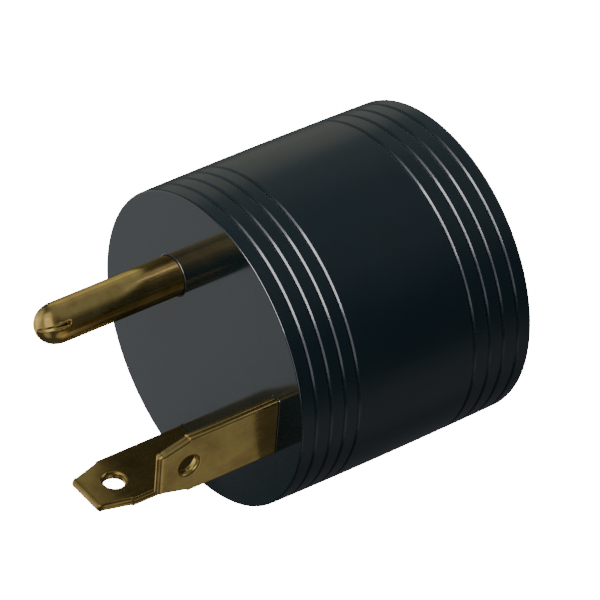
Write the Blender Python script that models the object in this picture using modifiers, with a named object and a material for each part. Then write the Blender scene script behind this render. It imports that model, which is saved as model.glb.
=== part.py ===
"""Round moulded plug adapter for trailers: a 30 A prong face on one end, a 15 A socket on the other.

The frame: the origin is the centre of the prong face, +Y runs from that face into the body,
the prongs point along -Y, and +Z is up, on the round ground pin's side. Lengths are in metres.
"""

import math

import bmesh
import bpy
from mathutils import Matrix

# Driving dimensions.
GAP = 0.0003
BODY_RADIUS = 0.0272
BODY_REAR_RADIUS = 0.02705
BODY_BULGE = 0.0002
BODY_LENGTH = 0.0462
EDGE_ROUND = 0.0006
FRONT_GROOVES = (0.0027, 0.0056, 0.0084, 0.0111)
REAR_GROOVES = (0.0344, 0.0375, 0.0403, 0.0433)
GROOVE_HALF_WIDTH = 0.00032
GROOVE_DEPTH = 0.00032
FRONT_WALL = 0.0030
WALL = 0.0036
LIP_DEPTH = 0.0036
LIP_INSET = 0.0020

# The prongs.
BLADE_X = 0.0131
BLADE_Z = -0.0150
BLADE_WIDTH = 0.0109
BLADE_THICKNESS = 0.0017
BLADE_LENGTH = 0.0230
BLADE_SHOULDER = 0.0172
BLADE_TIP_WIDTH = 0.0073
BLADE_STEP = 0.00025
BLADE_HOLE_RADIUS = 0.0019
BLADE_HOLE_AT = 0.0172
BLADE_EDGE = 0.00025
BLADE_WING_WIDTH = 0.0128
WING_FROM = 0.0080
TENON_WIDTH = 0.0044
STRAP_END_RADIUS = 0.0033
PIN_Z = 0.0129
PIN_RADIUS = 0.00343
PIN_WALL = 0.0008
PIN_LENGTH = 0.0265
PIN_NOSE = 0.0042
PIN_COLLAR_RADIUS = 0.0042
SLIT_WIDTH = 0.0004
SLIT_LENGTH = 0.0027
SLIT_HOLE_RADIUS = 0.00045
SLIT_ANGLE = math.radians(-13)

# The inner stack, along Y.
CARRIER_FROM = FRONT_WALL + GAP
CARRIER_TO = 0.0117
STRAP_FROM = CARRIER_TO + GAP
STRAP_THICKNESS = 0.0012
STRAP_TO = STRAP_FROM + STRAP_THICKNESS
CORE_FROM = STRAP_TO + GAP
CORE_TO = 0.0403
FACE_FROM = CORE_TO + GAP
BORE_RADIUS = BODY_RADIUS - WALL
LIP_RADIUS = BORE_RADIUS - LIP_INSET
CORE_RADIUS = BORE_RADIUS - GAP

# The socket: blade slots, ground hole and the contacts behind them.
SLOT_X = 0.00635
SLOT_Z = -0.0060
SLOT_THICKNESS = 0.0022
HOT_SLOT_LENGTH = 0.0072
NEUTRAL_SLOT_LENGTH = 0.0088
GROUND_Z = SLOT_Z + 0.0119
GROUND_HOLE_WIDTH = 0.0054
GROUND_HOLE_HEIGHT = 0.0064
SHEET = 0.0008
LEAF_SHEET = 0.0006
BASE_WALL_TO = 0.0200
LEAF_FROM = BASE_WALL_TO + GAP
THROAT_AT = 0.0350
LEAF_TO = 0.0392
RIVET_RADIUS = 0.0012
RIVET_HEAD_RADIUS = 0.0020
RIVET_HEAD = 0.0008

BODY_SEGMENTS = 48
PIN_SEGMENTS = 24
SMALL_SEGMENTS = 16
SMOOTH_BELOW = math.radians(32)
MERGE = 0.00001
THROUGH = 0.0010

# What each contact needs: its place, pocket, base half-width, leaf width and throat half-gap.
CONTACTS = {
    "hot": {
        "x": SLOT_X, "z": SLOT_Z, "pocket": (0.0070, 0.0095),
        "half": 0.0031, "wide": 0.0062, "throat": 0.00045, "flare": 0.0016,
    },
    "neutral": {
        "x": -SLOT_X, "z": SLOT_Z, "pocket": (0.0070, 0.0110),
        "half": 0.0031, "wide": 0.0076, "throat": 0.00045, "flare": 0.0016,
    },
    "ground": {
        "x": 0.0, "z": GROUND_Z, "pocket": (0.0085, 0.0085),
        "half": 0.00395, "wide": 0.0060, "throat": 0.0022, "flare": 0.0030,
    },
}

MATERIALS = {
    "jacket_pvc": ((0.016, 0.020, 0.023), 0.38, 0.0),
    "carrier_nylon": ((0.35, 0.34, 0.31), 0.55, 0.0),
    "core_nylon": ((0.045, 0.047, 0.050), 0.55, 0.0),
    "face_nylon": ((0.018, 0.021, 0.023), 0.45, 0.0),
    "prong_brass": ((0.46, 0.36, 0.17), 0.30, 1.0),
    "contact_brass": ((0.55, 0.42, 0.18), 0.35, 1.0),
    "rivet_steel": ((0.55, 0.54, 0.52), 0.35, 1.0),
}


def clear_scene():
    for obj in list(bpy.data.objects):
        bpy.data.objects.remove(obj, do_unlink=True)


def collection(name):
    made = bpy.data.collections.new(name)
    bpy.context.scene.collection.children.link(made)
    return made


def material(name):
    """The Principled material of this name, made on first use."""
    if name in bpy.data.materials:
        return bpy.data.materials[name]
    colour, roughness, metallic = MATERIALS[name]
    made = bpy.data.materials.new(name)
    made.use_nodes = True
    shader = made.node_tree.nodes["Principled BSDF"]
    shader.inputs["Base Color"].default_value = (*colour, 1.0)
    shader.inputs["Roughness"].default_value = roughness
    shader.inputs["Metallic"].default_value = metallic
    made.diffuse_color = (*colour, 1.0)
    return made


def object_of(bm, name):
    """A new object that holds this bmesh, in the parts collection."""
    mesh = bpy.data.meshes.new(name)
    bm.to_mesh(mesh)
    bm.free()
    obj = bpy.data.objects.new(name, mesh)
    bpy.data.collections["plug_adapter"].objects.link(obj)
    return obj


def dress(obj, slot):
    """Gives a finished piece its material and smooth shading."""
    obj.data.materials.clear()
    obj.data.materials.append(material(slot))
    obj.data.shade_smooth()
    obj.data.set_sharp_from_angle(angle=SMOOTH_BELOW)
    return obj


def to_cutters(obj):
    """Makes a cutter of this object: it is never rendered, and shows as a wire."""
    for holder in list(obj.users_collection):
        holder.objects.unlink(obj)
    bpy.data.collections["cutters"].objects.link(obj)
    obj.hide_render = True
    obj.display_type = "WIRE"
    return obj


def cut(obj, *cutters):
    for cutter in cutters:
        modifier = obj.modifiers.new("cut_" + cutter.name, "BOOLEAN")
        modifier.operation = "DIFFERENCE"
        modifier.solver = "EXACT"
        modifier.object = cutter


def arc(centre, radius, start, end, steps):
    """Points on an arc, from one angle to the other in degrees."""
    points = []
    for step in range(steps + 1):
        angle = math.radians(start + (end - start) * step / steps)
        points.append((centre[0] + radius * math.cos(angle), centre[1] + radius * math.sin(angle)))
    return points


def turned(name, profile, segments):
    """A solid turned about the world Y axis, from (radius, y) points down its outer side."""
    bm = bmesh.new()
    corners = [bm.verts.new((radius, 0.0, along)) for radius, along in profile]
    for first, second in zip(corners, corners[1:]):
        bm.edges.new((first, second))
    obj = object_of(bm, name)
    obj.rotation_euler = (math.radians(-90), 0.0, 0.0)
    screw = obj.modifiers.new("turn", "SCREW")
    screw.axis = "Z"
    screw.angle = math.radians(360)
    screw.steps = segments
    screw.render_steps = segments
    screw.use_merge_vertices = True
    screw.merge_threshold = MERGE
    screw.use_smooth_shade = True
    return obj


def flat_piece(name, outlines, thickness):
    """A flat piece centred on its own X-Y plane. The first outline is its edge, the rest are holes."""
    curve = bpy.data.curves.new(name, "CURVE")
    curve.dimensions = "2D"
    curve.fill_mode = "BOTH"
    curve.extrude = thickness / 2
    for outline in outlines:
        spline = curve.splines.new("POLY")
        spline.points.add(len(outline) - 1)
        for point, (across, along) in zip(spline.points, outline):
            point.co = (across, along, 0.0, 1.0)
        spline.use_cyclic_u = True
    flat = bpy.data.objects.new(name + "_outline", curve)
    bpy.data.collections["plug_adapter"].objects.link(flat)
    graph = bpy.context.evaluated_depsgraph_get()
    mesh = bpy.data.meshes.new_from_object(flat.evaluated_get(graph))
    bpy.data.objects.remove(flat, do_unlink=True)
    bm = bmesh.new()
    bm.from_mesh(mesh)
    bpy.data.meshes.remove(mesh)
    bmesh.ops.remove_doubles(bm, verts=bm.verts, dist=MERGE)
    bmesh.ops.recalc_face_normals(bm, faces=bm.faces)
    return object_of(bm, name)


def stand_across(obj, x, y, z):
    """Turns a flat piece's plane square to the body's axis, its own X and Y along +X and +Z."""
    obj.rotation_euler = (math.radians(90), 0.0, 0.0)
    obj.location = (x, y, z)
    return obj


def bent_sheet(name, line, width, thickness):
    """A strip bent along an (x, y) line and as wide as this along Z, with its line mid-thickness."""
    bm = bmesh.new()
    low = [bm.verts.new((x, y, -width / 2)) for x, y in line]
    high = [bm.verts.new((x, y, width / 2)) for x, y in line]
    for index in range(len(line) - 1):
        bm.faces.new((low[index], low[index + 1], high[index + 1], high[index]))
    obj = object_of(bm, name)
    shell = obj.modifiers.new("thickness", "SOLIDIFY")
    shell.thickness = thickness
    shell.offset = 0.0
    shell.use_even_offset = True
    return obj


def box_cutter(name, size, location, turn=0.0):
    """A box cutter, turned about Y."""
    bm = bmesh.new()
    bmesh.ops.create_cube(bm, size=1.0, matrix=Matrix.Diagonal((*size, 1.0)))
    obj = object_of(bm, name)
    obj.location = location
    obj.rotation_euler = (0.0, turn, 0.0)
    return to_cutters(obj)


def rod_cutter(name, radius, y_from, y_to, x, z, segments=SMALL_SEGMENTS):
    """A round cutter along Y."""
    bm = bmesh.new()
    bmesh.ops.create_cone(
        bm, cap_ends=True, segments=segments, radius1=radius, radius2=radius, depth=y_to - y_from
    )
    obj = object_of(bm, name)
    obj.rotation_euler = (math.radians(-90), 0.0, 0.0)
    obj.location = (x, (y_from + y_to) / 2, z)
    return to_cutters(obj)


def side_radius(y):
    """The moulded side: a slight draft to the rear, with a slight crown in the middle."""
    share = y / BODY_LENGTH
    draft = (BODY_REAR_RADIUS - BODY_RADIUS) * share
    return BODY_RADIUS + draft + BODY_BULGE * 4 * share * (1 - share)


def blade_turn(side):
    """The turn about Y that lays a blade's width along its 45 degree line."""
    return math.radians(-45 if side > 0 else -135)


def side_profile():
    """The jacket's outer side, from the rear edge down to the prong face, with its grooves."""
    rear = side_radius(BODY_LENGTH)
    points = arc((rear - EDGE_ROUND, BODY_LENGTH - EDGE_ROUND), EDGE_ROUND, 90, 0, 3)
    for groove in sorted(REAR_GROOVES + FRONT_GROOVES, reverse=True):
        points.append((side_radius(groove), groove + GROOVE_HALF_WIDTH))
        points.append((side_radius(groove) - GROOVE_DEPTH, groove))
        points.append((side_radius(groove), groove - GROOVE_HALF_WIDTH))
        if groove == min(REAR_GROOVES):
            middle = (min(REAR_GROOVES) + max(FRONT_GROOVES)) / 2
            points.append((side_radius(middle), middle))
    edge = EDGE_ROUND / 2
    return points + arc((BODY_RADIUS - edge, edge), edge, 0, -90, 2)


def make_jacket():
    """The overmoulded body: a cup floored by the prong face, with a lip that holds the socket face."""
    profile = [
        (0.0, FRONT_WALL),
        (BORE_RADIUS, FRONT_WALL),
        (BORE_RADIUS, BODY_LENGTH - LIP_DEPTH),
        (LIP_RADIUS, BODY_LENGTH - LIP_DEPTH),
        (LIP_RADIUS, BODY_LENGTH),
        *side_profile(),
        (0.0, 0.0),
    ]
    jacket = turned("jacket", profile, BODY_SEGMENTS)
    slot = (BLADE_WIDTH + 2 * GAP, 2 * FRONT_WALL + THROUGH, BLADE_THICKNESS + 2 * GAP)
    for side, name in ((1, "hot"), (-1, "neutral")):
        place = (side * BLADE_X, FRONT_WALL / 2, BLADE_Z)
        cut(jacket, box_cutter(name + "_face_slot", slot, place, blade_turn(side)))
    cut(
        jacket,
        rod_cutter(
            "pin_face_hole", PIN_RADIUS + GAP, -THROUGH, FRONT_WALL + THROUGH, 0.0, PIN_Z, PIN_SEGMENTS
        ),
    )
    return dress(jacket, "jacket_pvc")


def disc_profile(radius, y_from, y_to):
    return [(0.0, y_to), (radius, y_to), (radius, y_from), (0.0, y_from)]


def make_carrier():
    """The rigid disc that holds the blades and the ground pin square."""
    carrier = turned("blade_carrier", disc_profile(CORE_RADIUS, CARRIER_FROM, CARRIER_TO), BODY_SEGMENTS)
    depth = CARRIER_TO - CARRIER_FROM
    middle = (CARRIER_TO + CARRIER_FROM) / 2
    through = (BLADE_WIDTH + 2 * GAP, depth + 2 * THROUGH, BLADE_THICKNESS + 2 * GAP)
    wing_from = WING_FROM - GAP
    wing = (BLADE_WING_WIDTH + 2 * GAP, CARRIER_TO - wing_from + THROUGH, BLADE_THICKNESS + 3 * GAP)
    wing_middle = (wing_from + CARRIER_TO + THROUGH) / 2
    for side, name in ((1, "hot"), (-1, "neutral")):
        turn = blade_turn(side)
        cut(
            carrier,
            box_cutter(name + "_carrier_slot", through, (side * BLADE_X, middle, BLADE_Z), turn),
            box_cutter(name + "_wing_pocket", wing, (side * BLADE_X, wing_middle, BLADE_Z), turn),
        )
    cut(
        carrier,
        rod_cutter(
            "pin_carrier_hole", PIN_RADIUS + GAP, CARRIER_FROM - THROUGH, CARRIER_TO + THROUGH,
            0.0, PIN_Z, PIN_SEGMENTS,
        ),
        rod_cutter(
            "pin_collar_pocket", PIN_COLLAR_RADIUS + GAP, WING_FROM - GAP, CARRIER_TO + THROUGH,
            0.0, PIN_Z, PIN_SEGMENTS,
        ),
    )
    for name, place in CONTACTS.items():
        head = rod_cutter(
            name + "_rivet_pocket", RIVET_HEAD_RADIUS + GAP, CARRIER_TO - RIVET_HEAD - GAP,
            CARRIER_TO + THROUGH, place["x"], place["z"],
        )
        cut(carrier, head)
    return dress(carrier, "carrier_nylon")


def make_blade(name, side):
    """A flat 45 degree blade: tapered tip, hole, wings in the carrier, and a tenon in its strap."""
    half = BLADE_WIDTH / 2
    right = [
        (BLADE_TIP_WIDTH / 2, -BLADE_LENGTH),
        (half - BLADE_STEP, -BLADE_SHOULDER),
        (half, -BLADE_SHOULDER),
        (half, WING_FROM),
        (BLADE_WING_WIDTH / 2, WING_FROM),
        (BLADE_WING_WIDTH / 2, CARRIER_TO),
        (TENON_WIDTH / 2, CARRIER_TO),
        (TENON_WIDTH / 2, STRAP_TO),
    ]
    outline = right + [(-across, along) for across, along in reversed(right)]
    hole = arc((0.0, -BLADE_HOLE_AT), BLADE_HOLE_RADIUS, 0, 360, SMALL_SEGMENTS)[:-1]
    blade = flat_piece(name, [outline, hole], BLADE_THICKNESS)
    blade.rotation_euler = (0.0, blade_turn(side), 0.0)
    blade.location = (side * BLADE_X, 0.0, BLADE_Z)
    bevel = blade.modifiers.new("edges", "BEVEL")
    bevel.width = BLADE_EDGE
    bevel.segments = 1
    bevel.limit_method = "ANGLE"
    bevel.angle_limit = math.radians(60)
    return dress(blade, "prong_brass")


def make_ground_pin():
    """The ground pin: a rolled brass tube with a domed nose, a collar, and a slit with a round end."""
    nose_from = -(PIN_LENGTH - PIN_NOSE)
    outer = []
    inner = []
    steps = 6
    for step in range(steps + 1):
        angle = math.radians(90) * step / steps
        outer.append((PIN_RADIUS * math.cos(angle), nose_from - PIN_NOSE * math.sin(angle)))
        reach = PIN_NOSE - PIN_WALL
        inner.append(((PIN_RADIUS - PIN_WALL) * math.cos(angle), nose_from - reach * math.sin(angle)))
    outer[-1] = (0.0, outer[-1][1])
    inner[-1] = (0.0, inner[-1][1])
    profile = [
        *reversed(inner),
        (PIN_RADIUS - PIN_WALL, STRAP_TO),
        (PIN_RADIUS, STRAP_TO),
        (PIN_RADIUS, CARRIER_TO),
        (PIN_COLLAR_RADIUS, CARRIER_TO - GAP),
        (PIN_COLLAR_RADIUS, WING_FROM + GAP),
        (PIN_RADIUS, WING_FROM),
        *outer,
    ]
    pin = turned("ground_pin", profile, PIN_SEGMENTS)
    pin.location = (0.0, 0.0, PIN_Z)
    # The slit's cutters start inside the tube and leave through one side of its wall.
    reach = 2 * PIN_RADIUS
    slit = box_cutter("pin_slit", (reach, SLIT_LENGTH, SLIT_WIDTH), (0.0, 0.0, 0.0))
    slit.rotation_euler = (0.0, -SLIT_ANGLE, 0.0)
    middle = -PIN_LENGTH + SLIT_LENGTH / 2 + 2 * PIN_WALL
    out = (math.cos(SLIT_ANGLE) * reach / 2, math.sin(SLIT_ANGLE) * reach / 2)
    slit.location = (out[0], middle, PIN_Z + out[1])
    bm = bmesh.new()
    bmesh.ops.create_cone(
        bm, cap_ends=True, segments=12, radius1=SLIT_HOLE_RADIUS, radius2=SLIT_HOLE_RADIUS, depth=reach
    )
    relief = to_cutters(object_of(bm, "pin_slit_relief"))
    relief.rotation_euler = (0.0, math.radians(90) - SLIT_ANGLE, 0.0)
    relief.location = (out[0], middle + SLIT_LENGTH / 2, PIN_Z + out[1])
    cut(pin, slit, relief)
    return dress(pin, "prong_brass")


def link_outline(first, first_radius, second, second_radius):
    """The outline round two discs and their common tangents, anticlockwise."""
    span = math.dist(first, second)
    along = math.degrees(math.atan2(second[1] - first[1], second[0] - first[0]))
    lean = math.degrees(math.acos((first_radius - second_radius) / span))
    outline = arc(second, second_radius, along - lean, along + lean, 8)
    outline += arc(first, first_radius, along + lean, along + 360 - lean, 10)
    return outline


def make_strap(name, prong, prong_radius, prong_hole):
    """The flat brass link from a prong to its contact, with a hole for each."""
    place = CONTACTS[name]
    contact = (place["x"], place["z"])
    outline = link_outline(prong, prong_radius, contact, 2 * RIVET_HEAD_RADIUS)
    rivet_hole = arc(contact, RIVET_RADIUS + GAP, 0, 360, SMALL_SEGMENTS)[:-1]
    strap = flat_piece(name + "_strap", [outline, prong_hole, rivet_hole], STRAP_THICKNESS)
    stand_across(strap, 0.0, (STRAP_FROM + STRAP_TO) / 2, 0.0)
    return dress(strap, "contact_brass")


def tenon_hole(side):
    """The slot in a strap that a blade's tenon is staked in."""
    along = (math.cos(math.radians(45)) * side, math.sin(math.radians(45)))
    across = (-along[1], along[0])
    half_width = TENON_WIDTH / 2 + GAP
    half_thickness = BLADE_THICKNESS / 2 + GAP
    corners = []
    for wide, thick in ((1, 1), (-1, 1), (-1, -1), (1, -1)):
        x = side * BLADE_X + wide * half_width * along[0] + thick * half_thickness * across[0]
        z = BLADE_Z + wide * half_width * along[1] + thick * half_thickness * across[1]
        corners.append((x, z))
    return corners


def make_straps():
    for side, name in ((1, "hot"), (-1, "neutral")):
        make_strap(name, (side * BLADE_X, BLADE_Z), STRAP_END_RADIUS, tenon_hole(side))
    pin_hole = arc((0.0, PIN_Z), PIN_RADIUS + GAP, 0, 360, PIN_SEGMENTS)[:-1]
    make_strap("ground", (0.0, PIN_Z), PIN_RADIUS * 1.65, pin_hole)


def make_core():
    """The rigid block behind the socket face, with a pocket for each contact."""
    core = turned("contact_core", disc_profile(CORE_RADIUS, CORE_FROM, CORE_TO), BODY_SEGMENTS)
    depth = CORE_TO - CORE_FROM + 2 * THROUGH
    for name, place in CONTACTS.items():
        wide, tall = place["pocket"]
        middle = (CORE_FROM + CORE_TO) / 2
        cut(core, box_cutter(name + "_pocket", (wide, depth, tall), (place["x"], middle, place["z"])))
    return dress(core, "core_nylon")


def ground_hole_outline():
    """The ground hole: round towards the blade slots, square on the other side."""
    radius = GROUND_HOLE_WIDTH / 2
    flat_at = GROUND_HOLE_HEIGHT / 2
    centre = (0.0, radius - flat_at)
    return arc(centre, radius, 180, 360, 10) + [(radius, flat_at), (-radius, flat_at)]


def make_socket_face():
    """The socket face: a flanged plate held by the jacket's lip, with blade slots and a ground hole."""
    boss_radius = LIP_RADIUS - GAP
    flange_to = BODY_LENGTH - LIP_DEPTH - GAP
    profile = [
        (0.0, BODY_LENGTH),
        (boss_radius, BODY_LENGTH),
        (boss_radius, flange_to),
        (CORE_RADIUS, flange_to),
        (CORE_RADIUS, FACE_FROM),
        (0.0, FACE_FROM),
    ]
    face = turned("socket_face", profile, BODY_SEGMENTS)
    depth = BODY_LENGTH - FACE_FROM + 2 * THROUGH
    middle = (BODY_LENGTH + FACE_FROM) / 2
    for name, side, length in (("hot", 1, HOT_SLOT_LENGTH), ("neutral", -1, NEUTRAL_SLOT_LENGTH)):
        size = (SLOT_THICKNESS, depth, length)
        cut(face, box_cutter(name + "_slot", size, (side * SLOT_X, middle, SLOT_Z)))
    ground = to_cutters(flat_piece("ground_hole", [ground_hole_outline()], depth))
    cut(face, stand_across(ground, 0.0, middle, GROUND_Z))
    return dress(face, "face_nylon")


def make_contact_base(name):
    """The folded brass trough that a contact's two leaves spring from."""
    place = CONTACTS[name]
    wall_at = place["half"] - SHEET / 2
    floor_at = CORE_FROM + SHEET / 2
    line = [(-wall_at, BASE_WALL_TO), (-wall_at, floor_at), (wall_at, floor_at), (wall_at, BASE_WALL_TO)]
    base = bent_sheet(name + "_contact_base", line, place["wide"], SHEET)
    base.location = (place["x"], 0.0, place["z"])
    hole = rod_cutter(
        name + "_base_hole", RIVET_RADIUS + GAP, CORE_FROM - THROUGH, CORE_FROM + SHEET + THROUGH,
        place["x"], place["z"],
    )
    cut(base, hole)
    return dress(base, "contact_brass")


def leaf_line(place, side):
    """A leaf's line from its root, in to the throat where it grips, and out to its flared mouth."""
    root = place["half"] - SHEET / 2
    grip = place["throat"] + LEAF_SHEET / 2
    mouth = place["flare"] + LEAF_SHEET / 2
    straight_to = LEAF_FROM + (THROAT_AT - LEAF_FROM) * 0.2
    line = [(root, LEAF_FROM), (root, straight_to)]
    steps = 5
    for step in range(1, steps + 1):
        share = step / steps
        ease = share * share * (3 - 2 * share)
        line.append((root + (grip - root) * ease, straight_to + (THROAT_AT - straight_to) * share))
    line.append((grip + (mouth - grip) * 0.35, THROAT_AT + (LEAF_TO - THROAT_AT) * 0.5))
    line.append((mouth, LEAF_TO))
    return [(side * (x - root), y - LEAF_FROM) for x, y in line]


def make_leaf(name, side, which):
    """One spring leaf. Its origin is on the line that it bends about, at its root."""
    place = CONTACTS[name]
    leaf = bent_sheet(f"{name}_leaf_{which}", leaf_line(place, side), place["wide"], LEAF_SHEET)
    root = place["half"] - SHEET / 2
    leaf.location = (place["x"] + side * root, LEAF_FROM, place["z"])
    return dress(leaf, "contact_brass")


def make_rivet(name):
    """The rivet that fastens a contact's base to its strap."""
    low_to = CARRIER_TO
    high_from = CORE_FROM + SHEET + GAP
    profile = [
        (0.0, high_from + RIVET_HEAD),
        (RIVET_HEAD_RADIUS * 0.7, high_from + RIVET_HEAD),
        (RIVET_HEAD_RADIUS, high_from),
        (RIVET_RADIUS, high_from),
        (RIVET_RADIUS, low_to),
        (RIVET_HEAD_RADIUS, low_to),
        (RIVET_HEAD_RADIUS * 0.7, low_to - RIVET_HEAD),
        (0.0, low_to - RIVET_HEAD),
    ]
    rivet = turned(name + "_rivet", profile, SMALL_SEGMENTS)
    rivet.location = (CONTACTS[name]["x"], 0.0, CONTACTS[name]["z"])
    return dress(rivet, "rivet_steel")


def parent_to(parent, objects):
    for obj in objects:
        if obj.parent is None and obj is not parent:
            obj.parent = parent


def main():
    clear_scene()
    parts = collection("plug_adapter")
    cutters = collection("cutters")
    make_jacket()
    make_carrier()
    make_blade("hot_blade", 1)
    make_blade("neutral_blade", -1)
    make_ground_pin()
    make_straps()
    make_core()
    make_socket_face()
    for name in CONTACTS:
        make_contact_base(name)
        make_leaf(name, 1, "right")
        make_leaf(name, -1, "left")
        make_rivet(name)
    origin = bpy.data.objects.new("plug_adapter_origin", None)
    parts.objects.link(origin)
    parent_to(origin, list(parts.objects) + list(cutters.objects))


main()
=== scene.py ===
"""Looks for the round trailer plug adapter: moulding, prongs, socket face and materials."""

import math

import bmesh
import bpy
from mathutils import Matrix, Vector


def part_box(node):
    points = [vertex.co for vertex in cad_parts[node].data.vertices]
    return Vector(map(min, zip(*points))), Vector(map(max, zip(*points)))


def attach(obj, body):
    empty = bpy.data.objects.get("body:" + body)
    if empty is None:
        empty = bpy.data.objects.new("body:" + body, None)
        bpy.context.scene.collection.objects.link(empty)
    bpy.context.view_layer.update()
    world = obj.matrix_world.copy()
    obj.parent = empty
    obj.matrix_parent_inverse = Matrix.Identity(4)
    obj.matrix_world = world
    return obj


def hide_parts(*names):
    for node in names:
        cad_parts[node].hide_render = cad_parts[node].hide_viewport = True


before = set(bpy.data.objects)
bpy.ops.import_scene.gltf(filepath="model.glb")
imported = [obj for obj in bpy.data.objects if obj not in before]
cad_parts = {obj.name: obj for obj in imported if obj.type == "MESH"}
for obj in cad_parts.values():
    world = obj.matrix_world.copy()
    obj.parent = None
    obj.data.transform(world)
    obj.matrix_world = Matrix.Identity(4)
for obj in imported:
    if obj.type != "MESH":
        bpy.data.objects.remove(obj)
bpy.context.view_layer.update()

MM = 0.001
TINY = 1e-7

# Places that come from the frame's CAD boxes.
JACKET_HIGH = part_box("jacket")[1]
PIN_LOW, PIN_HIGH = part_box("ground_pin")
FACE_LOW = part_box("socket_face")[0]
RIVET_LOW, RIVET_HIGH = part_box("hot_rivet")
GROUND_LOW, GROUND_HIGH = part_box("ground_rivet")
BODY_LENGTH = JACKET_HIGH.y
PIN_Z = (PIN_LOW.z + PIN_HIGH.z) / 2
PIN_TIP = PIN_LOW.y
PIN_END = PIN_HIGH.y
SLOT_X = (RIVET_LOW.x + RIVET_HIGH.x) / 2
SLOT_Z = (RIVET_LOW.z + RIVET_HIGH.z) / 2
GROUND_Z = (GROUND_LOW.z + GROUND_HIGH.z) / 2
BLADES = {}
for name, side in (("hot", 1), ("neutral", -1)):
    low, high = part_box(name + "_blade")
    centre_x, centre_z = (low.x + high.x) / 2, (low.z + high.z) / 2
    BLADES[name] = {
        "side": side, "x": centre_x, "z": centre_z, "tip": low.y, "end": high.y,
    }

# The moulding. The grooves are in millimetres from the prong face.
FRONT_RADIUS = 27.2 * MM
REAR_RADIUS = 27.05 * MM
BULGE = 0.19 * MM
FRONT_EDGE = 0.30 * MM
REAR_EDGE = 0.60 * MM
FRONT_GROOVES = [2.7, 5.6, 8.4, 11.1]
REAR_GROOVES = [34.4, 37.5, 40.3, 43.3]
BETWEEN_GROOVES = [30, 26, 22.75, 19.5, 15.5]
GROOVE_HALF = 0.34 * MM
GROOVE_DEPTH = 0.30 * MM
GROOVE_ROUND = 0.10 * MM
FACE_RELIEF = 0.02 * MM
FRONT_WALL = 3.0 * MM
BORE = 23.6 * MM
LIP_RADIUS = 21.6 * MM
LIP_DEPTH = 3.6 * MM
LIP_EDGE = 0.35 * MM
SMALL_EDGE = 0.1 * MM
SIDE_SEGMENTS = 224
CUT_TO = 4.0 * MM
LEANING = 0.15

# The thin lip round a prong: places along Y and how far out from the prong, in millimetres.
LIP_SECTION = [
    (0.10, 0.0), (-0.06, 0.0), (-0.11, 0.04), (-0.12, 0.09),
    (-0.08, 0.17), (0.0, 0.28), (0.10, 0.28),
]
BLADE_LIP_SHARE = 0.6
LIP_SHARP = 60

# The ground pin.
PIN_RADIUS = 3.43 * MM
PIN_WALL = 0.8 * MM
PIN_OPEN = 1.0 * MM
PIN_NOSE = 4.2 * MM
NOSE_POWER = 2.25
FINE_LENGTH = 6.0 * MM
FINE_RINGS = 92
PLAIN_RINGS = 24
PIN_SEGMENTS = 96
PIN_SHARP = 40
SEAM_POINTS = 72
SNUG = 0.06 * MM

# The seam pressed into the pin's nose, its slit, its round end and the dimples beside it. The
# places are from the nose's tip.
SEAM_ANGLE = math.radians(-13)
SEAM_SPREAD = 18
SEAM_LEAST_RADIUS = 0.35 * MM
SEAM_TO = 5.4 * MM
RELIEF_AT = 4.25 * MM
RELIEF_RADIUS = 0.27 * MM
RELIEF_RIM = 0.44 * MM
RELIEF_STARTS = 0.2 * MM
RIM_STARTS = 0.3 * MM
RIM_HEIGHT = 0.10 * MM
RIM_HALF = 0.11 * MM
SLIT_AT = 2.2 * MM
SLIT_GROWS = 1.6 * MM
SLIT_DEPTH = 0.6 * MM
SLIT_THIN = 0.03 * MM
SLIT_WIDENS = 0.12 * MM
CREASE_DEPTH = 0.20 * MM
CREASE_HALF = 0.20 * MM
SEAM_LIP_AT = 0.38 * MM
SEAM_LIP_HALF = 0.13 * MM
SEAM_LIP_HEIGHT = 0.09 * MM
TIP_DEPTH = 0.40 * MM
TIP_REACH = 0.20 * MM
DIMPLE_ACROSS = 0.65 * MM
DIMPLE_ALONG = 2.85 * MM
DIMPLE_DEPTH = 0.10 * MM
DIMPLE_RADIUS = 0.15 * MM

# The blades of folded strip. The notch at the seam is in seam widths: how deep, and how far to
# each side.
BLADE_HALF = 5.45 * MM
BLADE_TIP_HALF = 3.65 * MM
BLADE_THICK = 1.7 * MM
BLADE_SHOULDER = 17.2 * MM
BLADE_CORNER = 0.3 * MM
BLADE_EDGE = 0.34 * MM
BLADE_STEP = 0.26 * MM
BLADE_TAPER = 0.1 * MM
TAPER_EDGE = 0.42 * MM
TAPER_AT = (0.35, 0.7, 0.82)
TENON_HALF = BLADE_HALF * 0.42
TENON_FROM = 11.7 * MM
TENON_STEP = 0.01 * MM
FOLD_STEPS = 8
FOLD_INSET = 0.08 * MM
FOLD_SPREAD = 0.55
FOLD_DRAWN_IN = 0.35 * MM
FOLD_SEAM = 0.09 * MM
FOLD_THINNEST = 0.02 * MM
FOLD_CLOSED = 0.001 * MM
NOTCH_HALF = [(0.0, 2.2), (0.35, 1.2), (1.1, 0.5)]
NOTCH_BOTTOM = 2.8
BLADE_SHARP = 25
HOLE_SEGMENTS = 64

# The blades' shoulder: places along Y from it, how much narrower the blade is on each side, and
# the radius of its edges, in millimetres.
SHOULDER = [(0.12, 0.0, 0.34), (0.0, 0.08, 0.36), (-0.06, 0.26, 0.40)]

# Half of the blade hole's rounded section: radius and distance from the middle plane, in
# millimetres.
HOLE_HALF = [
    (0.0, 2.0), (2.3, 2.0), (2.3, 0.86), (2.12, 0.79),
    (1.95, 0.66), (1.82, 0.46), (1.77, 0.2),
]

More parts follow.
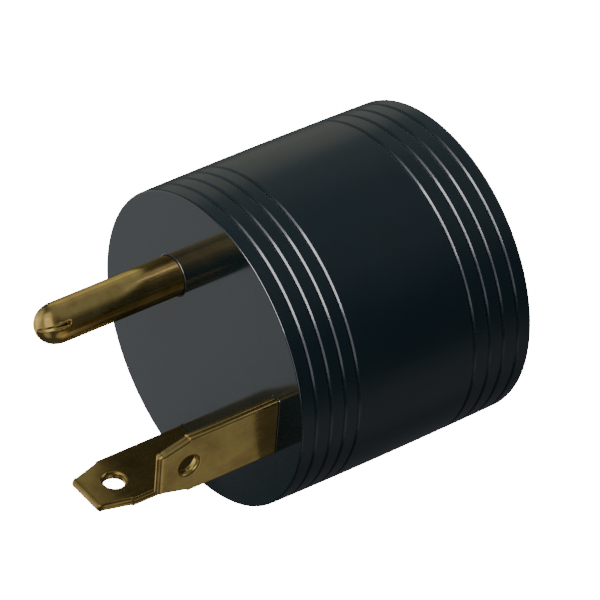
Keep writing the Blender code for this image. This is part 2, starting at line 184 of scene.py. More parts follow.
# The socket face. The flare of its holes is in millimetres: places along Y from the face's back
# and how much wider the hole is there.
SLOT_FLARE = [(-1.0, 0.0), (5.2, 0.0), (5.45, 0.12), (5.6, 0.35), (6.6, 0.36)]
SLOT_HALF = 1.1 * MM
SLOT_CORNER = 0.25 * MM
HOT_SLOT = 7.2 * MM
NEUTRAL_SLOT = 8.8 * MM
GROUND_RADIUS = 2.7 * MM
GROUND_FLAT = 3.2 * MM
GROUND_CORNER = 0.4 * MM
GROUND_DROP = 0.5 * MM
GROUND_STEPS = 16
BOSS_GAP = 0.12 * MM
FLANGE_GAP = 0.3 * MM
FACE_SEGMENTS = 160
FACE_SHARP = 20

# The fine ring in the socket face: how far in from the boss's edge, how deep, and the corner's
# radius, in millimetres.
RING_SECTION = [(1.7, 0.0, 0.2), (1.9, 0.35, 0.15), (1.3, 0.35, 0.15), (1.1, 0.0, 0.2)]

# The materials' noise scales, per metre, and their bump distances, in metres.
GLOSS_SCALE = 70
DUST_SCALE = 5200
CLOUD_SCALE = 220
FINE_PEEL_SCALE = 2600
COARSE_PEEL_SCALE = 650
FINE_PEEL_HEIGHT = 0.00002
COARSE_PEEL_HEIGHT = 0.00004
GRAIN_SCALE = 140
GRAIN_STRETCH = (26.0, 1.0, 26.0)
GRAIN_HEIGHT = 0.00003
GRAIN_STRENGTH = 0.07
STAIN_SCALE = 160
STEEL_SCALE = 900

# Each moulded plastic: its colour, its dust's colour, its least and greatest roughness, and the
# strength of its orange peel.
PLASTICS = {
    "jacket_pvc": ((0.006, 0.023, 0.034), (0.05, 0.055, 0.055), 0.28, 0.33, 0.08),
    "polished_pvc": ((0.006, 0.018, 0.024), (0.05, 0.055, 0.055), 0.07, 0.13, 0.02),
    "groove_pvc": ((0.006, 0.023, 0.034), (0.05, 0.055, 0.055), 0.16, 0.24, 0.30),
    "face_nylon": ((0.030, 0.034, 0.037), (0.07, 0.07, 0.07), 0.34, 0.46, 0.12),
    "core_nylon": ((0.040, 0.042, 0.045), (0.09, 0.09, 0.09), 0.5, 0.6, 0.10),
    "carrier_nylon": ((0.35, 0.34, 0.31), (0.45, 0.44, 0.4), 0.5, 0.6, 0.10),
}

# Each brass: its clean colour, its tarnished colour, and its least and greatest roughness.
BRASSES = {
    "prong_brass": ((0.76, 0.57, 0.20), (0.50, 0.34, 0.13), 0.13, 0.24),
    # The far blade's brass is the prong brass darkened by about a third: painted shade for the
    # far blade.
    "far_blade_shaded_brass": ((0.52, 0.38, 0.13), (0.34, 0.23, 0.08), 0.15, 0.26),
    "contact_brass": ((0.60, 0.45, 0.18), (0.45, 0.33, 0.14), 0.25, 0.40),
}

# The camera and the stage.
CAMERA_PLACE = Vector((761.5, -407.35, 27.42)) * MM
CAMERA_RIGHT = Vector((0.46435, 0.80457, -0.37020))
CAMERA_UP = Vector((0.15704, 0.33657, 0.92847))
CAMERA_LENS = 321.85
CAMERA_SENSOR = 36.0
CAMERA_NEAR = 0.05
CAMERA_FAR = 20.0
MIDDLE = Vector((0.0, 12.0, 0.0)) * MM
GROUND_STRENGTH = 20.0
FLOOR_RADIUS = 0.9
FLOOR_DROP = 0.20
FLOOR_SEGMENTS = 64
FLOOR_SCALE = 6

# Each light: its place from the object's middle, its width and height, all in metres, its
# radiance and its colour.
LIGHTS = {
    "face_card": ((-0.61, -0.34, 0.23), (0.60, 0.60), 0.47, (1.0, 1.0, 1.0)),
    "sheen_card": ((-0.36, 0.32, 0.48), (0.28, 0.52), 0.33, (1.0, 0.98, 0.76)),
    "groove_card": ((0.33, -0.46, 0.16), (0.34, 0.50), 17.0, (1.0, 0.99, 1.02)),
    "groove_glow": ((0.26, -0.48, 0.08), (0.50, 1.20), 2.2, (1.0, 0.98, 1.02)),
    "fill_card": ((0.48, -0.62, 0.25), (0.60, 0.60), 2.4, (1.0, 1.0, 1.0)),
    "under_card": ((0.01, -0.34, -0.61), (0.26, 0.26), 0.52, (1.0, 0.97, 0.90)),
    "prong_card": ((-0.61, -0.34, 0.23), (0.60, 0.60), 0.42, (1.0, 0.95, 0.80)),
    "glint_card": ((0.33, -0.46, 0.12), (0.42, 0.60), 0.55, (1.0, 0.95, 0.80)),
    "rear_card": ((-0.15, 0.88, 0.34), (0.50, 0.50), 2.6, (1.0, 1.0, 1.0)),
    "left_card": ((-0.85, 0.10, 0.10), (0.50, 0.50), 1.0, (1.0, 1.0, 1.0)),
    "floor_card": ((0.0, 0.0, 1.1), (1.4, 1.4), 5.0, (1.0, 1.0, 1.0)),
}

# The lights that reach only some pieces, and the ones that are only seen in reflections.
ON_MOULDING = ("face_card", "groove_card", "groove_glow", "fill_card", "under_card")
ON_PRONGS = ("prong_card", "glint_card")
REFLECTED_ONLY = ("groove_card", "groove_glow", "under_card")

# Each soft patch of the surroundings: its direction, the cosines where it starts and is full,
# and its colour.
SURROUNDINGS = [
    ((0.50, 0.55, 0.65), 0.45, 0.95, (0.17, 0.18, 0.18)),
    ((-0.20, 0.49, 0.84), 0.86, 0.98, (0.12, 0.115, 0.10)),
    ((0.02, 0.40, -0.90), 0.90, 0.98, (0.15, 0.145, 0.135)),
    ((-0.60, 0.50, -0.60), 0.80, 0.96, (0.02, 0.02, 0.02)),
    ((0.20, -0.90, 0.35), 0.30, 0.95, (0.26, 0.25, 0.22)),
    ((0.38, -0.49, 0.78), 0.90, 0.99, (0.45, 0.43, 0.39)),
    ((0.25, 0.95, 0.12), 0.78, 0.96, (0.32, 0.32, 0.32)),
    ((-0.65, -0.50, 0.57), 0.72, 0.96, (0.45, 0.45, 0.45)),
    ((-0.15, -0.75, -0.65), 0.93, 0.985, (0.22, 0.20, 0.17)),
    ((0.25, 0.05, -0.95), 0.90, 0.98, (0.30, 0.27, 0.22)),
]
SURROUNDINGS_BASE = (0.060, 0.068, 0.074)


# ---------------------------------------------------------------- mesh helpers

def new_object(name, bm, smooth=30):
    """An object of this bmesh, with outward faces and edges sharp above this angle in degrees."""
    bmesh.ops.recalc_face_normals(bm, faces=bm.faces)
    mesh = bpy.data.meshes.new(name)
    bm.to_mesh(mesh)
    bm.free()
    mesh.shade_smooth()
    mesh.set_sharp_from_angle(angle=math.radians(smooth))
    obj = bpy.data.objects.new(name, mesh)
    bpy.context.scene.collection.objects.link(obj)
    return obj


def rounded(corners, steps=3):
    """The line through these (x, y, radius) corners, with each inner corner rounded off."""
    line = [Vector(corners[0][:2])]
    for before, corner, after in zip(corners, corners[1:], corners[2:]):
        point, radius = Vector(corner[:2]), corner[2]
        if radius <= 0:
            line.append(point)
            continue
        back = (Vector(before[:2]) - point).normalized()
        on = (Vector(after[:2]) - point).normalized()
        half = back.angle(on) / 2
        centre = point + (back + on).normalized() * radius / math.sin(half)
        start = point + back * radius / math.tan(half) - centre
        turn = (point + on * radius / math.tan(half) - centre).angle_signed(start)
        for step in range(steps + 1):
            spin = Matrix.Rotation(turn * step / steps, 2)
            line.append(centre + spin @ start)
    line.append(Vector(corners[-1][:2]))
    return line


def lathe(name, profile, angles, centre=(0.0, 0.0), shift=None, smooth=30):
    """A surface turned about an axis along Y. shift(radius, y, angle) moves a point in or out."""
    bm = bmesh.new()
    rings = []
    for radius, y in profile:
        if radius < TINY:
            rings.append([bm.verts.new((centre[0], y, centre[1]))])
            continue
        ring = []
        for angle in angles:
            reach = radius + (shift(radius, y, angle) if shift else 0.0)
            x, z = centre[0] + reach * math.cos(angle), centre[1] + reach * math.sin(angle)
            ring.append(bm.verts.new((x, y, z)))
        rings.append(ring)
    for first, second in zip(rings, rings[1:]):
        join_rings(bm, first, second)
    return new_object(name, bm, smooth)


def join_rings(bm, first, second):
    """Faces between two rings of points, either of which may be a single point."""
    count = max(len(first), len(second))
    for index in range(count):
        after = (index + 1) % count
        corners = [first[index % len(first)]]
        if len(first) > 1:
            corners.append(first[after])
        if len(second) > 1:
            corners.append(second[after])
        corners.append(second[index % len(second)])
        bm.faces.new(corners)


def even_angles(count):
    return [2 * math.pi * step / count for step in range(count)]


def loft(name, sections, smooth=30):
    """A closed solid through sections that have the same number of points."""
    bm = bmesh.new()
    rings = [[bm.verts.new(point) for point in section] for section in sections]
    for first, second in zip(rings, rings[1:]):
        join_rings(bm, first, second)
    bm.faces.new(rings[0])
    bm.faces.new(rings[-1])
    return new_object(name, bm, smooth)


def rounded_box(half_x, half_z, radius, steps=4):
    """The (x, z) outline of a rectangle with rounded corners."""
    points = []
    for quarter, (sx, sz) in enumerate(((1, 1), (-1, 1), (-1, -1), (1, -1))):
        for step in range(steps + 1):
            angle = math.pi / 2 * (quarter + step / steps)
            x = sx * (half_x - radius) + radius * math.cos(angle)
            z = sz * (half_z - radius) + radius * math.sin(angle)
            points.append((x, z))
    return points


def cut_and_apply(obj, cutters, smooth=30):
    """Cuts the cutters out of obj for good, and removes them."""
    for cutter in cutters:
        boolean = obj.modifiers.new("cut", "BOOLEAN")
        boolean.solver = "EXACT"
        boolean.object = cutter
    bpy.context.view_layer.update()
    graph = bpy.context.evaluated_depsgraph_get()
    mesh = bpy.data.meshes.new_from_object(obj.evaluated_get(graph))
    obj.modifiers.clear()
    obj.data = mesh
    mesh.shade_smooth()
    mesh.set_sharp_from_angle(angle=math.radians(smooth))
    for cutter in cutters:
        bpy.data.objects.remove(cutter, do_unlink=True)
    even = obj.modifiers.new("even_shading", "WEIGHTED_NORMAL")
    even.weight = 100
    even.keep_sharp = True


def keep(obj, node, material):
    """Makes this piece stand for a CAD node, on the node's body, with its own material."""
    obj.data.materials.clear()
    obj.data.materials.append(material)
    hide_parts(node)
    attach(obj, "adapter")
    return obj


# ---------------------------------------------------------------- material helpers

class Nodes:
    """A short way to write one material's node tree."""

    def __init__(self, name, **principled):
        self.material = bpy.data.materials.new(name)
        self.material.use_nodes = True
        self.tree = self.material.node_tree
        self.shader = self.tree.nodes["Principled BSDF"]
        for key, value in principled.items():
            self.shader.inputs[key.replace("_", " ")].default_value = value

    def add(self, kind, **values):
        node = self.tree.nodes.new("ShaderNode" + kind)
        for key, value in values.items():
            if hasattr(node, key):
                setattr(node, key, value)
            else:
                node.inputs[key.replace("_", " ")].default_value = value
        return node

    def link(self, start, end):
        self.tree.links.new(start, end)

    def set(self, value, name):
        """Feeds this value to the shader's input of this name."""
        self.link(value, self.shader.inputs[name])

    def coordinates(self, scale):
        """Object coordinates, stretched by this scale."""
        place = self.add("TexCoord")
        mapping = self.add("Mapping")
        mapping.inputs["Scale"].default_value = scale
        self.link(place.outputs["Object"], mapping.inputs["Vector"])
        return mapping.outputs["Vector"]

    def noise(self, scale, stretch=(1, 1, 1), detail=3.0, roughness=0.5):
        noise = self.add("TexNoise", Scale=scale, Detail=detail, Roughness=roughness)
        self.link(self.coordinates(stretch), noise.inputs["Vector"])
        return noise.outputs["Fac"]

    def ramp(self, value, stops):
        """A ramp between two (place, grey) stops."""
        ramp = self.add("ValToRGB")
        for element, (place, grey) in zip(ramp.color_ramp.elements, stops):
            element.position = place
            element.color = (grey, grey, grey, 1)
        self.link(value, ramp.inputs["Fac"])
        return ramp.outputs["Color"]

    def mix(self, share, first, second, blend="MIX"):
        mix = self.add("Mix", data_type="RGBA", blend_type=blend)
        for index, value in ((0, share), (6, first), (7, second)):
            if isinstance(value, bpy.types.NodeSocket):
                self.link(value, mix.inputs[index])
            else:
                mix.inputs[index].default_value = value
        return mix.outputs[2]

    def bump(self, height, strength, distance, after=None):
        bump = self.add("Bump", Strength=strength, Distance=distance)
        self.link(height, bump.inputs["Height"])
        if after is not None:
            self.link(after, bump.inputs["Normal"])
        return bump.outputs["Normal"]


def moulded(name):
    """Moulded plastic: a faint orange peel, uneven gloss, and fine pale dust."""
    colour, dust, rough_low, rough_high, peel = PLASTICS[name]
    nodes = Nodes(name, Specular_IOR_Level=0.5, IOR=1.5)
    gloss = nodes.noise(GLOSS_SCALE, detail=4)
    nodes.set(nodes.ramp(gloss, [(0.20, rough_low), (0.80, rough_high)]), "Roughness")
    specks = nodes.ramp(nodes.noise(DUST_SCALE, detail=1), [(0.735, 0.0), (0.80, 1.0)])
    darker = tuple(0.7 * part for part in colour)
    body = nodes.mix(nodes.noise(CLOUD_SCALE, detail=5), (*darker, 1), (*colour, 1))
    nodes.set(nodes.mix(specks, body, (*dust, 1)), "Base Color")
    fine = nodes.bump(nodes.noise(FINE_PEEL_SCALE, detail=2), peel * 0.5, FINE_PEEL_HEIGHT)
    coarse = nodes.noise(COARSE_PEEL_SCALE, detail=2)
    nodes.set(nodes.bump(coarse, peel, COARSE_PEEL_HEIGHT, fine), "Normal")
    return nodes.material


def brass(name):
    """Rolled brass with a brushed grain along Y, and uneven tarnish."""
    light, dark, rough_low, rough_high = BRASSES[name]
    nodes = Nodes(name, Metallic=1.0, Specular_Tint=(0.95, 0.82, 0.55, 1))
    grain = nodes.noise(GRAIN_SCALE, stretch=GRAIN_STRETCH, detail=6, roughness=0.65)
    stain = nodes.noise(STAIN_SCALE, detail=5, roughness=0.6)
    tone = nodes.mix(nodes.ramp(stain, [(0.38, 0.0), (0.68, 1.0)]), (*light, 1), (*dark, 1))
    streak = nodes.ramp(grain, [(0.30, 0.86), (0.70, 1.0)])
    nodes.set(nodes.mix(1.0, tone, streak, "MULTIPLY"), "Base Color")
    nodes.set(nodes.ramp(grain, [(0.25, rough_low), (0.75, rough_high)]), "Roughness")
    nodes.set(nodes.bump(grain, GRAIN_STRENGTH, GRAIN_HEIGHT), "Normal")
    return nodes.material


def steel(name):
    nodes = Nodes(name, Metallic=1.0)
    grain = nodes.noise(STEEL_SCALE, detail=4)
    nodes.set(nodes.ramp(grain, [(0.3, 0.42), (0.7, 0.62)]), "Base Color")
    nodes.set(nodes.ramp(grain, [(0.3, 0.25), (0.7, 0.42)]), "Roughness")
    return nodes.material


# ---------------------------------------------------------------- the moulding

def side_radius(y):
    share = y / BODY_LENGTH
    return FRONT_RADIUS + (REAR_RADIUS - FRONT_RADIUS) * share + BULGE * 4 * share * (1 - share)


def groove_corners(at):
    """Corners of one ring groove, from its rear edge to its front one."""
    y = at * MM
    return [
        (side_radius(y), y + GROOVE_HALF, GROOVE_ROUND),
        (side_radius(y) - GROOVE_DEPTH, y, GROOVE_ROUND),
        (side_radius(y), y - GROOVE_HALF, GROOVE_ROUND),
    ]


def side_corners():
    """Corners of the jacket's side from the rear edge to the front one, grooves included."""
    corners = [(side_radius(BODY_LENGTH), BODY_LENGTH, REAR_EDGE)]
    for at in reversed(REAR_GROOVES):
        corners += groove_corners(at)
    corners += [(side_radius(at * MM), at * MM, 0) for at in BETWEEN_GROOVES]
    for at in reversed(FRONT_GROOVES):
        corners += groove_corners(at)
    corners.append((FRONT_RADIUS - FACE_RELIEF, 0.0, FRONT_EDGE))
    return corners


def blade_matrix(blade):
    """A blade's own frame: X across it, Y along it, Z through it."""
    turn = math.radians(-45 if blade["side"] > 0 else -135)
    return Matrix.Translation((blade["x"], 0.0, blade["z"])) @ Matrix.Rotation(turn, 4, "Y")


def slot_cutter(blade):
    """The opening moulded round a blade."""
    outline = rounded_box(BLADE_HALF + SNUG, BLADE_THICK / 2 + SNUG, BLADE_CORNER)
    sections = [[(x, y, z) for x, z in outline] for y in (-MM, CUT_TO)]
    cutter = loft("slot_cutter", sections)
    cutter.matrix_world = blade_matrix(blade)
    return cutter


def make_jacket(side_material, face_material, groove_material):
    """The moulded body. Its prong face left a polished mould, so it is glossier than the side."""
    corners = [
        (0.0, FRONT_WALL, 0),
        (BORE, FRONT_WALL, 0),
        (BORE, BODY_LENGTH - LIP_DEPTH, 0),
        (LIP_RADIUS, BODY_LENGTH - LIP_DEPTH, SMALL_EDGE),
        (LIP_RADIUS, BODY_LENGTH, LIP_EDGE),
        *side_corners(),
        (0.0, 0.0, 0),
    ]
    jacket = lathe("jacket_moulding", rounded(corners), even_angles(SIDE_SEGMENTS))
    reach = PIN_RADIUS + SNUG
    pin = [(0.0, CUT_TO), (reach, CUT_TO), (reach, -MM), (0.0, -MM)]
    hole = lathe("pin_cutter", pin, even_angles(PIN_SEGMENTS), (0.0, PIN_Z))
    cutters = [hole] + [slot_cutter(blade) for blade in BLADES.values()]
    cut_and_apply(jacket, cutters)
    keep(jacket, "jacket", side_material)
    jacket.data.materials.append(face_material)
    jacket.data.materials.append(groove_material)
    for polygon in jacket.data.polygons:
        centre, lean = polygon.center, polygon.normal.y
        on_front = lean < -LEANING and centre.y < FRONT_EDGE
        in_groove = abs(lean) > LEANING and math.hypot(centre.x, centre.z) > BORE + MM
        polygon.material_index = 1 if on_front else 2 if in_groove else 0
    return jacket


def make_lip(name, outline, place, material):
    """The thin raised lip that the mould leaves round a prong."""
    bm = bmesh.new()
    rings = []
    for y, extra in LIP_SECTION:
        rings.append([bm.verts.new((x, y * MM, z)) for x, z in outline(extra * MM)])
    for first, second in zip(rings, rings[1:] + rings[:1]):
        join_rings(bm, first, second)
    lip = new_object(name, bm, LIP_SHARP)
    lip.matrix_world = place
    lip.data.materials.append(material)
    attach(lip, "adapter")
    return lip


def make_lips(material):
    def round_outline(extra):
        reach = PIN_RADIUS + SNUG + extra
        angles = even_angles(PIN_SEGMENTS)
        return [(reach * math.cos(angle), reach * math.sin(angle)) for angle in angles]

    def blade_outline(extra):
        reach = SNUG + extra * BLADE_LIP_SHARE
        corner = BLADE_CORNER + reach / 2
        return rounded_box(BLADE_HALF + reach, BLADE_THICK / 2 + reach, corner)

    lips = [make_lip("pin_lip", round_outline, Matrix.Translation((0.0, 0.0, PIN_Z)), material)]
    for name, blade in BLADES.items():
        lips.append(make_lip(name + "_blade_lip", blade_outline, blade_matrix(blade), material))
    return lips


# ---------------------------------------------------------------- the prongs

def blade_section(y, half_x, half_z, radius, seam=FOLD_SEAM):
    """A folded strip's section: two layers, with the seam between them at each side."""
    outline = rounded_box(half_x, half_z, radius, 4)
    points = seam_notch(half_x, -1, seam) + [point for point in outline if point[1] > 0]
    points += seam_notch(-half_x, 1, seam) + [point for point in outline if point[1] < 0]
    return [(x, y, z) for x, z in points]


def seam_notch(x, inward, seam):
    """The notch between the two layers at one edge, in the outline's going order."""
    step = inward * seam
    start = [(x + step * deep, step * along) for deep, along in NOTCH_HALF]
    end = [(x + step * deep, -step * along) for deep, along in reversed(NOTCH_HALF)]
    return start + [(x + step * NOTCH_BOTTOM, 0.0)] + end


def blade_sections(tip, end):
    """A blade's sections from its inner end to its tip: tenon, body, shoulder, taper and fold."""
    half_z = BLADE_THICK / 2
    thin = half_z - FOLD_INSET
    shoulder = -BLADE_SHOULDER
    shoulder_half = BLADE_HALF - BLADE_STEP
    sections = [
        blade_section(end, TENON_HALF, half_z, BLADE_CORNER),
        blade_section(TENON_FROM, TENON_HALF, half_z, BLADE_CORNER),
        blade_section(TENON_FROM - TENON_STEP, BLADE_HALF, half_z, BLADE_EDGE),
    ]
    for along, narrower, edge in SHOULDER:
        half_x = BLADE_HALF - narrower * MM
        sections.append(blade_section(shoulder + along * MM, half_x, half_z, edge * MM))
    for share in TAPER_AT:
        y = shoulder + (tip - shoulder) * share
        half_x = shoulder_half + (BLADE_TIP_HALF - shoulder_half) * share
        half = half_z - BLADE_TAPER * share**3
        sections.append(blade_section(y, half_x, half, TAPER_EDGE, FOLD_SEAM * (1 - share)))
    for step in range(1, FOLD_STEPS + 1):
        lift = math.radians(90 * step / FOLD_STEPS)
        left = 1 - math.sin(lift)
        drawn_in = FOLD_DRAWN_IN * (1 - math.cos(lift)) ** 3
        half_x = BLADE_TIP_HALF + thin * FOLD_SPREAD * left - drawn_in
        half = max(thin * math.cos(lift), FOLD_THINNEST)
        sections.append(blade_section(tip + thin * left, half_x, half, half * 0.5, FOLD_CLOSED))
    return sections


def make_blade(name, blade, material):
    """A 45 degree blade of folded strip, with the rounded hole through it."""
    obj = loft(name + "_blade_fine", blade_sections(blade["tip"], blade["end"]), BLADE_SHARP)
    profile = [(radius * MM, along * MM) for radius, along in HOLE_HALF]
    profile += [(radius, -along) for radius, along in reversed(profile)]
    cutter = lathe("hole_cutter", profile, even_angles(HOLE_SEGMENTS))
    turn = Matrix.Rotation(math.radians(90), 4, "X")
    cutter.matrix_world = Matrix.Translation((0, -BLADE_SHOULDER, 0)) @ turn
    cut_and_apply(obj, [cutter], BLADE_SHARP)
    obj.matrix_world = blade_matrix(blade)
    return keep(obj, name + "_blade", material)


def hump(distance, width, power=2):
    """1 at no distance, falling smoothly to 0 over about this width."""
    return math.exp(-((distance / width) ** power))


def seam_shift(radius, y, angle):
    """How far the nose is pressed in by its seam, the seam's round end and two dimples."""
    off = (angle - SEAM_ANGLE + math.pi) % (2 * math.pi) - math.pi
    across = abs(off) * max(radius, SEAM_LEAST_RADIUS)
    along = y - PIN_TIP
    depth = 0.0
    if along < SEAM_TO:
        opened = min(max((along - SLIT_AT) / SLIT_GROWS, 0.0), 1.0)
        if along < RELIEF_AT:
            crease = CREASE_DEPTH * hump(across, CREASE_HALF, 1.3)
            depth += crease * min(1.0, 0.3 + along / MM)
            depth -= SEAM_LIP_HEIGHT * hump(across - SEAM_LIP_AT, SEAM_LIP_HALF)
            if opened > 0:
                width = SLIT_THIN + SLIT_WIDENS * opened
                depth += SLIT_DEPTH * opened**0.3 * hump(across, width, 4)
        end = math.hypot(across, along - RELIEF_AT)
        if along >= RELIEF_AT - RELIEF_STARTS:
            depth += SLIT_DEPTH * hump(end, RELIEF_RADIUS, 4)
        if along > RELIEF_AT - RIM_STARTS:
            depth -= RIM_HEIGHT * hump(end - RELIEF_RIM, RIM_HALF)
        depth += TIP_DEPTH * hump(along, TIP_REACH)
    dimple = math.hypot(across - DIMPLE_ACROSS, along - DIMPLE_ALONG)
    return -depth - DIMPLE_DEPTH * hump(dimple, DIMPLE_RADIUS)


def make_pin(material):
    """The ground pin: a tube with a domed nose, gathered into a seam with a round end."""
    inner = PIN_RADIUS - PIN_WALL
    profile = [
        (0.0, PIN_END - PIN_OPEN),
        (inner, PIN_END - PIN_OPEN),
        (inner, PIN_END),
        (PIN_RADIUS, PIN_END),
    ]
    straight_to = PIN_TIP + FINE_LENGTH
    for step in range(1, PLAIN_RINGS + 1):
        profile.append((PIN_RADIUS, PIN_END + (straight_to - PIN_END) * step / PLAIN_RINGS))
    for step in range(1, FINE_RINGS + 1):
        along = FINE_LENGTH * (1 - step / FINE_RINGS)
        profile.append((nose_radius(along), PIN_TIP + along))
    coarse, fine = math.radians(360 - 2 * SEAM_SPREAD), math.radians(2 * SEAM_SPREAD)
    start = SEAM_ANGLE + math.radians(SEAM_SPREAD)
    angles = [start + coarse * step / SEAM_POINTS for step in range(SEAM_POINTS)]
    start = SEAM_ANGLE - math.radians(SEAM_SPREAD)
    angles += [start + fine * step / SEAM_POINTS for step in range(SEAM_POINTS)]
    obj = lathe("ground_pin_fine", profile, angles, (0.0, PIN_Z), seam_shift, PIN_SHARP)
    return keep(obj, "ground_pin", material)


def nose_radius(along):
    """The nose's radius at this distance from its tip: a full round, slightly flat in front."""
    if along >= PIN_NOSE:
        return PIN_RADIUS
    share = 1 - along / PIN_NOSE
    return PIN_RADIUS * max(1 - share**NOSE_POWER, 0.0) ** 0.5


# ---------------------------------------------------------------- the socket face

def flared_cutter(name, outline, place):
    """A cutter along Y, flared at the face. outline(extra) is its (x, z) line, wider by extra."""
    sections = []
    for y, extra in SLOT_FLARE:
        sections.append([(x, y * MM, z) for x, z in outline(extra * MM)])
    cutter = loft(name, sections)
    cutter.location = (place[0], FACE_LOW.y, place[1])
    return cutter


def ground_outline(extra):
    """The ground hole's (x, z) outline, wider by extra: half round below and flat above."""
    radius = GROUND_RADIUS + extra
    flat = GROUND_FLAT + extra
    points = []
    for step in range(GROUND_STEPS + 1):
        angle = math.pi + math.pi * step / GROUND_STEPS
        points.append((radius * math.cos(angle), radius * math.sin(angle) - GROUND_DROP))
    inset, below = radius - GROUND_CORNER, flat - GROUND_CORNER
    return points + [(radius, below), (inset, flat), (-inset, flat), (-radius, below)]


def make_socket_face(material):
    """The socket face: a flanged plate with a fine ring, two blade slots and a ground hole."""
    boss = LIP_RADIUS - BOSS_GAP
    flange = BORE - FLANGE_GAP
    flange_to = BODY_LENGTH - LIP_DEPTH - SMALL_EDGE
    ring = []
    for inward, deep, corner in RING_SECTION:
        ring.append((boss - inward * MM, BODY_LENGTH - deep * MM, corner * MM))
    corners = [
        (0.0, BODY_LENGTH, 0),
        *ring,
        (boss, BODY_LENGTH, LIP_EDGE),
        (boss, flange_to, SMALL_EDGE),
        (flange, flange_to, SMALL_EDGE),
        (flange, FACE_LOW.y, SMALL_EDGE),
        (0.0, FACE_LOW.y, 0),
    ]
    angles = even_angles(FACE_SEGMENTS)
    face = lathe("socket_face_fine", rounded(corners, 6), angles, smooth=FACE_SHARP)
    cutters = [flared_cutter("ground_cutter", ground_outline, (0.0, GROUND_Z))]
    for side, length in ((1, HOT_SLOT), (-1, NEUTRAL_SLOT)):
        def outline(extra, half=length / 2):
            return rounded_box(SLOT_HALF + extra, half + extra, SLOT_CORNER + extra, 3)
        cutters.append(flared_cutter("slot_cutter", outline, (side * SLOT_X, SLOT_Z)))
    cut_and_apply(face, cutters, FACE_SHARP)
    return keep(face, "socket_face", material)


# ---------------------------------------------------------------- the stage

def make_camera():
    data = bpy.data.cameras.new("camera")
    data.lens = CAMERA_LENS
    data.sensor_width = CAMERA_SENSOR
    data.clip_start = CAMERA_NEAR
    data.clip_end = CAMERA_FAR
    camera = bpy.data.objects.new("camera", data)
    back = CAMERA_RIGHT.cross(CAMERA_UP).normalized()
    up = back.cross(CAMERA_RIGHT).normalized()
    axes = Matrix((CAMERA_RIGHT.normalized(), up, back)).transposed()
    camera.matrix_world = Matrix.Translation(CAMERA_PLACE) @ axes.to_4x4()
    bpy.context.scene.collection.objects.link(camera)
    bpy.context.scene.camera = camera


def make_light(name, place, size, radiance, colour):
    """A soft rectangular light that faces the object, its height towards +Z."""
    data = bpy.data.lights.new(name, "AREA")
    data.shape = "RECTANGLE"
    data.size, data.size_y = size
    data.energy = radiance * math.pi * size[0] * size[1]
    data.color = colour
    light = bpy.data.objects.new(name, data)
    light.location = MIDDLE + Vector(place)
    light.rotation_mode = "QUATERNION"
    light.rotation_quaternion = (-Vector(place)).to_track_quat("-Z", "Y")
    light.visible_camera = False
    bpy.context.scene.collection.objects.link(light)
    return light


def only_on(light, pieces):
    """Lets this light reach only these pieces."""
    receivers = bpy.data.collections.new(light.name + "_reaches")
    for piece in pieces:
        receivers.objects.link(piece)
    light.light_linking.receiver_collection = receivers


def make_lights(moulding, prongs, floor):
    """The studio cards, each on what it is meant for, as flags would keep it in a studio."""
    reach = dict.fromkeys(ON_MOULDING, moulding) | dict.fromkeys(ON_PRONGS, prongs)
    reach["floor_card"] = [floor]
    for name, (place, size, radiance, colour) in LIGHTS.items():
        light = make_light(name, place, size, radiance, colour)
        light.visible_diffuse = name not in REFLECTED_ONLY
        light.visible_glossy = name != "fill_card"
        if name in reach:
            only_on(light, reach[name])


def soft_patch(tree, place, patch, colour):
    """Adds one soft patch of the surroundings to this colour."""
    direction, start, full, light = patch
    dot = tree.nodes.new("ShaderNodeVectorMath")
    dot.operation = "DOT_PRODUCT"
    dot.inputs[1].default_value = Vector(direction).normalized()
    tree.links.new(place.outputs["Generated"], dot.inputs[0])
    edge = tree.nodes.new("ShaderNodeMapRange")
    edge.interpolation_type = "SMOOTHSTEP"
    edge.inputs["From Min"].default_value = start
    edge.inputs["From Max"].default_value = full
    tree.links.new(dot.outputs["Value"], edge.inputs["Value"])
    add = tree.nodes.new("ShaderNodeMix")
    add.data_type = "RGBA"
    add.blend_type = "ADD"
    add.inputs[7].default_value = (*light, 1)
    tree.links.new(edge.outputs["Result"], add.inputs[0])
    tree.links.new(colour, add.inputs[6])
    return add.outputs[2]


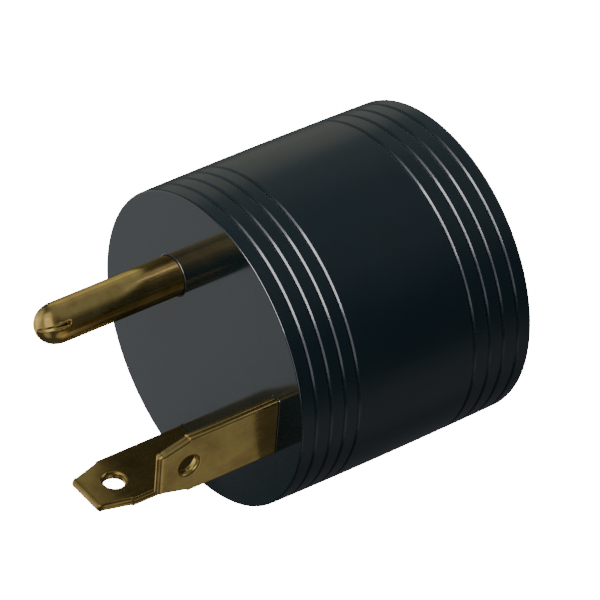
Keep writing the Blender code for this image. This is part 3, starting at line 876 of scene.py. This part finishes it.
def make_world():
    """Soft surroundings, and a clean white ground behind the object."""
    world = bpy.data.worlds.new("studio")
    world.use_nodes = True
    tree = world.node_tree
    tree.nodes.clear()
    place = tree.nodes.new("ShaderNodeTexCoord")
    base = tree.nodes.new("ShaderNodeRGB")
    base.outputs[0].default_value = (*SURROUNDINGS_BASE, 1)
    colour = base.outputs[0]
    for patch in SURROUNDINGS:
        colour = soft_patch(tree, place, patch, colour)
    soft = tree.nodes.new("ShaderNodeBackground")
    tree.links.new(colour, soft.inputs["Color"])
    clean = tree.nodes.new("ShaderNodeBackground")
    clean.inputs["Color"].default_value = (1, 1, 1, 1)
    clean.inputs["Strength"].default_value = GROUND_STRENGTH
    path = tree.nodes.new("ShaderNodeLightPath")
    mix = tree.nodes.new("ShaderNodeMixShader")
    out = tree.nodes.new("ShaderNodeOutputWorld")
    tree.links.new(path.outputs["Is Camera Ray"], mix.inputs["Fac"])
    tree.links.new(soft.outputs[0], mix.inputs[1])
    tree.links.new(clean.outputs[0], mix.inputs[2])
    tree.links.new(mix.outputs[0], out.inputs["Surface"])
    bpy.context.scene.world = world


def make_floor():
    """A plain pale floor well below the held adapter."""
    bm = bmesh.new()
    bmesh.ops.create_circle(bm, cap_ends=True, segments=FLOOR_SEGMENTS, radius=FLOOR_RADIUS)
    floor = new_object("floor", bm)
    floor.location = (0.0, 0.0, -FLOOR_DROP)
    nodes = Nodes("floor_paint", Roughness=0.9)
    nodes.set(nodes.ramp(nodes.noise(FLOOR_SCALE), [(0.3, 0.80), (0.7, 0.84)]), "Base Color")
    floor.data.materials.append(nodes.material)
    floor.visible_glossy = False
    floor.visible_diffuse = False
    return floor


# ---------------------------------------------------------------- everything together

def dress_node(node, material):
    """Gives a carried-over CAD node its finished material."""
    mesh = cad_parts[node].data
    mesh.materials.clear()
    mesh.materials.append(material)


def dress_nodes(plastics, contact, rivet):
    """Gives every carried-over CAD node its finished material."""
    dress_node("blade_carrier", plastics["carrier_nylon"])
    dress_node("contact_core", plastics["core_nylon"])
    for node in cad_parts:
        if node.endswith("_rivet"):
            dress_node(node, rivet)
        elif "_leaf_" in node or node.endswith(("_strap", "_contact_base")):
            dress_node(node, contact)


def main():
    plastics = {name: moulded(name) for name in PLASTICS}
    brasses = {name: brass(name) for name in BRASSES}
    rivet = steel("rivet_steel")
    polished = plastics["polished_pvc"]
    jacket = make_jacket(plastics["jacket_pvc"], polished, plastics["groove_pvc"])
    moulding = [jacket, *make_lips(polished)]
    prongs = [make_pin(brasses["prong_brass"])]
    prongs.append(make_blade("hot", BLADES["hot"], brasses["prong_brass"]))
    # The far blade gets the darkened brass, which is painted shade.
    prongs.append(make_blade("neutral", BLADES["neutral"], brasses["far_blade_shaded_brass"]))
    make_socket_face(plastics["face_nylon"])
    dress_nodes(plastics, brasses["contact_brass"], rivet)
    make_camera()
    make_world()
    make_lights(moulding, prongs, make_floor())


main()
